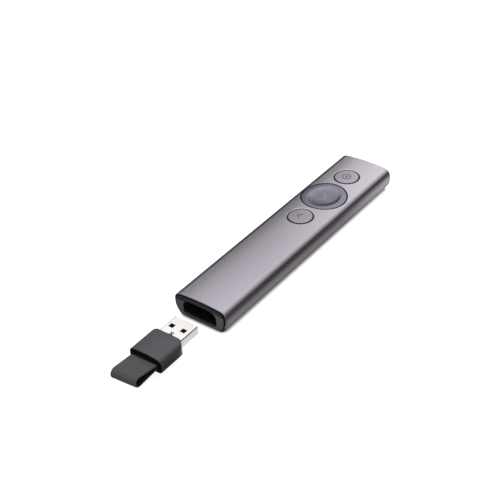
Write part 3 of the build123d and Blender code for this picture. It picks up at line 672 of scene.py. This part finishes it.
def strokeMesh(name, path, width, proud, surface, closed=False):
    # a flat stroke: each point moved sideways by half the width, more at a corner so that both arms stay as
    # wide, with its top above the surface and its bottom as far below
    step = np.roll(path, -1, 0) - path if closed else np.diff(path, axis=0)
    step /= np.linalg.norm(step, axis=1, keepdims=True)
    aside = np.stack([-step[:, 1], step[:, 0]], -1)
    before = np.roll(aside, 1, 0) if closed else np.vstack([aside[:1], aside])
    after = aside if closed else np.vstack([aside, aside[-1:]])
    mitre = (before + after) / (1 + (before * after).sum(1, keepdims=True))
    left, right = path + mitre * width / 2, path - mitre * width / 2
    corners = [(left, -proud), (left, proud), (right, proud), (right, -proud)]
    points = np.stack([np.column_stack([edge, surface(*edge.T) + lift]) for edge, lift in corners], 1)
    return closedSkin(name, points, closeRows=closed, smooth=False)


def arrowPath(corners, y, pieces):
    # straight arms between the corners, cut into short pieces so that they follow the surface
    corners = np.array(corners) + (0, y)
    share = np.linspace(0, 1, pieces, endpoint=False)[:, None]
    arms = [start + (end - start) * share for start, end in zip(corners[:-1], corners[1:])]
    return np.vstack(arms + [corners[-1:]])


def addIcons(v):
    ink, raisedHighlight = mouldedPlastic("padPrintInk", *v["ink"]), mouldedPlastic("highlightedRaisedMark", *v["raisedHighlight"])
    turn = fullTurn(v["columns"])
    circle = np.stack([np.cos(turn), np.sin(turn)], -1)
    back = arrowPath(v["backArrow"], backY, v["arrowPieces"])
    forward = arrowPath(v["nextArrow"], nextY, v["arrowPieces"])
    ring, dot = (circle * v[key] + (0, pointerY) for key in ("ringMm", "dotMm"))
    for name, path, width, surface, closed, body, material in (
            ("backArrowMark", back, v["lineMm"], crownHeight, False, "back_button", ink),
            ("nextArrowMark", forward, v["bossedLineMm"], dishHeight, False, "next_button", raisedHighlight),
            ("pointerRingMark", ring, v["lineMm"], crownHeight, True, "pointer_button", ink)):
        mesh = strokeMesh(name, path, width, v["proudMm"], surface, closed)
        addPiece(name, mesh, body, material)
    # the dot is a disc with its top above the surface and its bottom as far below
    height = crownHeight(circle[:, 0])
    faces = np.stack([np.column_stack([dot, height + lift]) for lift in (-v["proudMm"], v["proudMm"])])
    mesh = closedSkin("pointerDotMark", faces, smooth=False)
    addPiece("pointerDotMark", mesh, "pointer_button", ink)


addIcons(iconValues)

strapValues = {
    "thicknessMm": 1.2, "rootMm": 0.5,
    "edgeMm": 0.4, "edgeShare": 0.45,       # rounding of its edges, and its largest share of the thickness
    "leanAtRim": 2.0, "leanAtNose": 7.0, "leanRunMm": 1.5,      # in degrees, and the run in which it starts
    "rimGapMm": 0.3, "swellMm": 1.0,        # the fold's place before the rim, and half the swell's length
    # painted shade: the strap is painted black inside its fold and at its root
    "insideMm": 0.15, "rootShadeMm": 0.8,   # black this far inside the loop's middle line, and at its root
    # how many sections: along the root, the swell and the run, round the nose, and points at each corner
    "rootSteps": 5, "swellSteps": 7, "runSteps": 14, "noseSteps": 31, "cornerSteps": 5,
}


def addPullStrap(v):
    # a flat band carried along a loop: out of the case, round a nose and back in, its section a rounded
    # rectangle; the loop leans over about its own middle line, more towards the nose
    low, high = (np.array(corner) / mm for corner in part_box("pull_strap"))
    middle = (low[2] + high[2]) / 2
    noseRadius = (high[2] - low[2] - v["thicknessMm"]) / 2
    noseY = low[1] + (high[2] - low[2]) / 2
    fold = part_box("receiver_case")[0][1] / mm - v["rimGapMm"]
    half, root = v["thicknessMm"] / 2, v["rootMm"] / 2

    def tilt(y):
        return np.tan(np.radians(np.interp(
            y, [low[1], fold, fold + v["leanRunMm"]], [v["leanAtNose"], v["leanAtRim"], 0])))

    # the upper run goes straight from the fold to where it touches the nose's circle
    slope = math.asin(noseRadius / math.hypot(fold - noseY, half)) - math.atan2(half, fold - noseY)
    touchY, touchZ = noseY + noseRadius * math.sin(slope), noseRadius * math.cos(slope)
    rootY = np.linspace(high[1], fold + v["swellMm"], v["rootSteps"])
    swell = (1 - np.cos(np.linspace(0, np.pi, v["swellSteps"])))[1:] / 2
    swellY = np.linspace(fold + v["swellMm"], fold - v["swellMm"], v["swellSteps"])[1:]
    runY = np.linspace(swellY[-1], touchY, v["runSteps"])[1:]
    upperY = np.concatenate([rootY, swellY, runY])
    grown = np.concatenate([0 * rootY, swell, 1 + 0 * runY])
    upperZ = root + (np.interp(upperY, [touchY, fold], [touchZ, half]) - root) * grown
    around = np.linspace(-slope, math.pi + slope, v["noseSteps"])[1:-1]
    y = np.concatenate([upperY, noseY - noseRadius * np.sin(around), upperY[::-1]])[:, None]
    z = np.concatenate([upperZ, noseRadius * np.cos(around), -upperZ[::-1]])[:, None]
    grown = np.concatenate([grown, 1 + 0 * around, grown[::-1]])[:, None]
    thick = v["rootMm"] + (v["thicknessMm"] - v["rootMm"]) * grown
    # the section is set square to the path
    alongY, alongZ = np.gradient(y[:, 0])[:, None], np.gradient(z[:, 0])[:, None]
    length = np.hypot(alongY, alongZ)
    edge = np.minimum(v["edgeMm"], v["edgeShare"] * thick)
    quarter = np.repeat(np.arange(4), v["cornerSteps"])
    angle = (quarter + np.tile(np.linspace(0, 1, v["cornerSteps"]), 4)) * np.pi / 2
    signX, signZ = np.array([1, -1, -1, 1])[quarter], np.array([1, 1, -1, -1])[quarter]
    x = signX * (high[0] - edge) + edge * np.cos(angle)
    rise = signZ * (thick / 2 - edge) + edge * np.sin(angle)
    points = np.stack([x, y + rise * alongZ / length, middle + z - rise * alongY / length + x * tilt(y)], -1)
    mesh = closedSkin("pullStrap", points)
    # marks the root at the case, and what lies within the loop's middle line, between its two runs, or
    # nearer to the nose's axis: these get painted black as painted shade
    place = np.empty(3 * len(mesh.vertices))
    mesh.vertices.foreach_get("co", place)
    x, y, z = place.reshape(-1, 3).T / mm
    height = np.abs(z - middle - x * tilt(y))
    within = height < np.interp(y, [touchY, fold], [touchZ, half]) - v["insideMm"]
    within &= np.hypot(np.minimum(y - noseY, 0), height) < noseRadius - v["insideMm"]
    within |= y > fold - v["rootShadeMm"]
    mesh.attributes.new("inside", "FLOAT", "POINT").data.foreach_set("value", within.astype(float))
    strap = addPiece("pullStrap", mesh, "receiver", finishes["strap_rubber"])
    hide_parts("pull_strap")


addPullStrap(strapValues)
print("stage 5: dished button, marks and pull strap")
